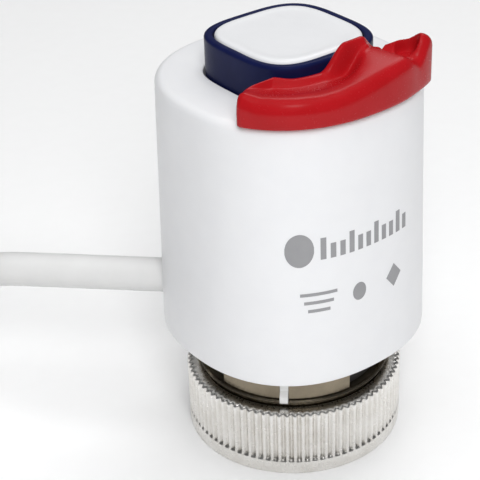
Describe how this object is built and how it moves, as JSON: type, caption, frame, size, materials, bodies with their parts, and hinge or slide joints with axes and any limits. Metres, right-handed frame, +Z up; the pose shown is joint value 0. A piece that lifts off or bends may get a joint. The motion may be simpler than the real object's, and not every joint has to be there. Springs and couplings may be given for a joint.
{
  "type": "motorised actuator head",
  "caption": "White cylindrical thermoelectric valve actuator head with a knurled union nut, a square position indicator, a red first-open key and a two-core cable.",
  "frame": {"origin": "centre of the union nut's mouth, on the axis", "axes": "+Z up along the axis from the nut to the indicator, the cable leaves towards -X, and the corner of the indicator that the key wraps points to -Y"},
  "size_m": [0.1593, 0.079, 0.0752],
  "materials": {
    "white_plastic": "satin white moulding",
    "navy_plastic": "satin navy moulding",
    "red_plastic": "gloss red moulding",
    "plated_nut": "satin nickel plate",
    "plated_neck": "bright plated collar",
    "dark_plastic": "matte dark moulding",
    "light_plastic": "matte natural moulding",
    "spring_steel": "drawn wire",
    "brass": "turned",
    "copper_alloy": "stamped strip",
    "ceramic": "sintered pill with silvered faces",
    "seal_rubber": "matte",
    "cable_pvc": "soft white PVC",
    "brown_pvc": "core insulation",
    "blue_pvc": "core insulation"
  },
  "bodies": {
    "head": {"housing_shell": "white_plastic", "base_plate": "white_plastic", "neck_sleeve": "plated_neck", "neck_core": "dark_plastic", "nut_wire": "spring_steel", "rod_seal": "seal_rubber", "return_spring": "spring_steel", "spring_plate": "spring_steel", "heater_carrier": "dark_plastic", "ptc_heater": "ceramic", "wax_cylinder": "brass", "wax_guide": "brass", "contact_live": "copper_alloy", "contact_neutral": "copper_alloy", "terminal_block": "light_plastic", "terminal_screws": "spring_steel", "wire_live": "brown_pvc", "wire_neutral": "blue_pvc", "cord_clamp": "light_plastic", "base_screws": "spring_steel", "cable_grommet": "white_plastic", "cable": "cable_pvc", "cable_coil": "cable_pvc", "coil_tie": "seal_rubber", "wire_tails": "blue_pvc", "ferrules": "spring_steel"},
    "nut": {"union_nut": "plated_nut"},
    "drive": {"indicator_ring": "navy_plastic", "indicator_cap": "white_plastic", "lift_yoke": "light_plastic", "push_rod": "dark_plastic", "over_travel_spring": "spring_steel", "wax_piston": "spring_steel"},
    "key": {"first_open_key": "red_plastic"}
  },
  "joints": [
    {"name": "nut_turn", "type": "hinge", "parent": "head", "child": "nut", "pos_m": [0, 0, 0.0063], "axis": [0, 0, 1], "continuous": true},
    {"name": "valve_stroke", "type": "slide", "parent": "head", "child": "drive", "axis": [0, 0, 1], "range_m": [-0.004, 0], "deforming": ["return_spring"]},
    {"name": "key_pull", "type": "slide", "parent": "head", "child": "key", "axis": [0.7071, -0.7071, 0], "range_m": [0, 0.025]}
  ]
}
